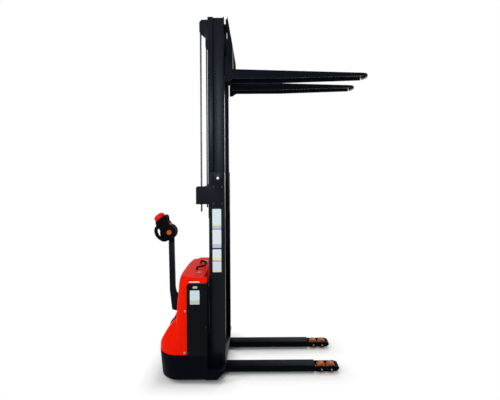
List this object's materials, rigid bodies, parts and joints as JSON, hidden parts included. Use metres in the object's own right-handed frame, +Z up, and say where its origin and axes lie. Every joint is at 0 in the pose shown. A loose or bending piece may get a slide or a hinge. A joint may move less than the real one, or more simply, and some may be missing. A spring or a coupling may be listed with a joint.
{
  "type": "electric pallet stacker",
  "caption": "Pedestrian electric pallet stacker with a raised two-stage mast, forks over straddle legs, red hood, black chassis and a tiller.",
  "frame": {"origin": "centre of the bounding box on the floor", "axes": "+X towards the fork tips, +Y to the left side, +Z up"},
  "size_m": [1.893, 0.79, 3.034],
  "materials": {
    "black_frame": "satin black powder coat",
    "black_mast": "satin black powder coat",
    "black_fork": "satin black powder coat",
    "red_hood": "glossy moulded plastic",
    "panel_black": "satin black sheet",
    "tiller_black": "fine grained black plastic",
    "button_red": "glossy red plastic",
    "knob_orange": "glossy orange plastic",
    "polyurethane": "satin cast polyurethane",
    "tyre_black": "matt black rubber",
    "steel": "turned steel",
    "chrome_rod": "ground hard chrome",
    "chain_steel": "oiled leaf chain",
    "cast_grey": "painted casting",
    "battery_grey": "moulded case"
  },
  "bodies": {
    "chassis": {"base_tub": "black_frame", "battery": "battery_grey", "chain_anchor_left": "steel", "chain_anchor_right": "steel", "grab_bar": "tiller_black", "hood": "red_hood", "leg_left": "black_frame", "leg_right": "black_frame", "lift_cylinder_left": "black_mast", "lift_cylinder_right": "black_mast", "load_axles_left": "steel", "load_axles_right": "steel", "mast_side_plate_left": "black_mast", "mast_side_plate_right": "black_mast", "outer_mast_cross_members": "black_mast", "outer_mast_rollers": "steel", "outer_rail_left": "black_mast", "outer_rail_right": "black_mast", "rear_chain_left": "chain_steel", "rear_chain_right": "chain_steel", "side_panel_left": "panel_black", "side_panel_right": "panel_black"},
    "inner_mast": {"inner_mast_cross_members": "black_mast", "inner_mast_rollers": "steel", "inner_rail_left": "black_mast", "inner_rail_right": "black_mast", "lift_rod_left": "chrome_rod", "lift_rod_right": "chrome_rod"},
    "carriage": {"carriage_frame": "black_fork", "carriage_rollers": "steel", "fork_left": "black_fork", "fork_right": "black_fork", "front_chain_left": "chain_steel", "front_chain_right": "chain_steel"},
    "pulley_left": {"chain_pulley_left": "steel"},
    "pulley_right": {"chain_pulley_right": "steel"},
    "turret": {"drive_unit": "cast_grey", "turret_cap": "tiller_black", "tiller_yoke": "cast_grey"},
    "tiller": {"tiller_arm": "tiller_black", "tiller_head": "tiller_black", "belly_button": "button_red", "thumb_knobs": "knob_orange"},
    "drive_wheel_body": {"drive_wheel": "tyre_black"},
    "castor_left": {"castor_fork_left": "steel"},
    "castor_right": {"castor_fork_right": "steel"},
    "castor_wheel_left_body": {"castor_wheel_left": "tyre_black"},
    "castor_wheel_right_body": {"castor_wheel_right": "tyre_black"},
    "roller_left_rear": {"load_roller_left_rear": "polyurethane"},
    "roller_left_front": {"load_roller_left_front": "polyurethane"},
    "roller_right_rear": {"load_roller_right_rear": "polyurethane"},
    "roller_right_front": {"load_roller_right_front": "polyurethane"}
  },
  "joints": [
    {"name": "mast_lift", "type": "slide", "parent": "chassis", "child": "inner_mast", "axis": [0, 0, 1], "range_m": [-1.229, 0], "deforming": ["rear_chain_left", "rear_chain_right"]},
    {"name": "carriage_lift", "type": "slide", "parent": "inner_mast", "child": "carriage", "axis": [0, 0, 1], "range_m": [-1.229, 0]},
    {"name": "steering", "type": "hinge", "parent": "chassis", "child": "turret", "pos_m": [-0.704, 0, 0.25], "axis": [0, 0, 1], "range_deg": [-80, 80]},
    {"name": "tiller_tilt", "type": "hinge", "parent": "turret", "child": "tiller", "pos_m": [-0.704, 0, 0.505], "axis": [0, 1, 0], "range_deg": [-70, 0]},
    {"name": "drive_roll", "type": "hinge", "parent": "turret", "child": "drive_wheel_body", "pos_m": [-0.704, 0, 0.1], "axis": [0, 1, 0], "continuous": true},
    {"name": "pulley_turn_left", "type": "hinge", "parent": "inner_mast", "child": "pulley_left", "pos_m": [-0.438, 0.178, 2.974], "axis": [0, 1, 0], "continuous": true},
    {"name": "castor_swivel_left", "type": "hinge", "parent": "chassis", "child": "castor_left", "pos_m": [-0.56, 0.27, 0.11], "axis": [0, 0, 1], "continuous": true},
    {"name": "castor_roll_left", "type": "hinge", "parent": "castor_left", "child": "castor_wheel_left_body", "pos_m": [-0.588, 0.27, 0.05], "axis": [0, 1, 0], "continuous": true},
    {"name": "load_roll_left_rear", "type": "hinge", "parent": "chassis", "child": "roller_left_rear", "pos_m": [0.537, 0.205, 0.04], "axis": [0, 1, 0], "continuous": true},
    {"name": "load_roll_left_front", "type": "hinge", "parent": "chassis", "child": "roller_left_front", "pos_m": [0.621, 0.205, 0.04], "axis": [0, 1, 0], "continuous": true},
    {"name": "pulley_turn_right", "type": "hinge", "parent": "inner_mast", "child": "pulley_right", "pos_m": [-0.438, -0.178, 2.974], "axis": [0, 1, 0], "continuous": true},
    {"name": "castor_swivel_right", "type": "hinge", "parent": "chassis", "child": "castor_right", "pos_m": [-0.56, -0.27, 0.11], "axis": [0, 0, 1], "continuous": true},
    {"name": "castor_roll_right", "type": "hinge", "parent": "castor_right", "child": "castor_wheel_right_body", "pos_m": [-0.588, -0.27, 0.05], "axis": [0, 1, 0], "continuous": true},
    {"name": "load_roll_right_rear", "type": "hinge", "parent": "chassis", "child": "roller_right_rear", "pos_m": [0.537, -0.205, 0.04], "axis": [0, 1, 0], "continuous": true},
    {"name": "load_roll_right_front", "type": "hinge", "parent": "chassis", "child": "roller_right_front", "pos_m": [0.621, -0.205, 0.04], "axis": [0, 1, 0], "continuous": true}
  ],
  "couplings": [
    {"joint": "carriage_lift", "follows": "mast_lift", "ratio": 1}
  ]
}
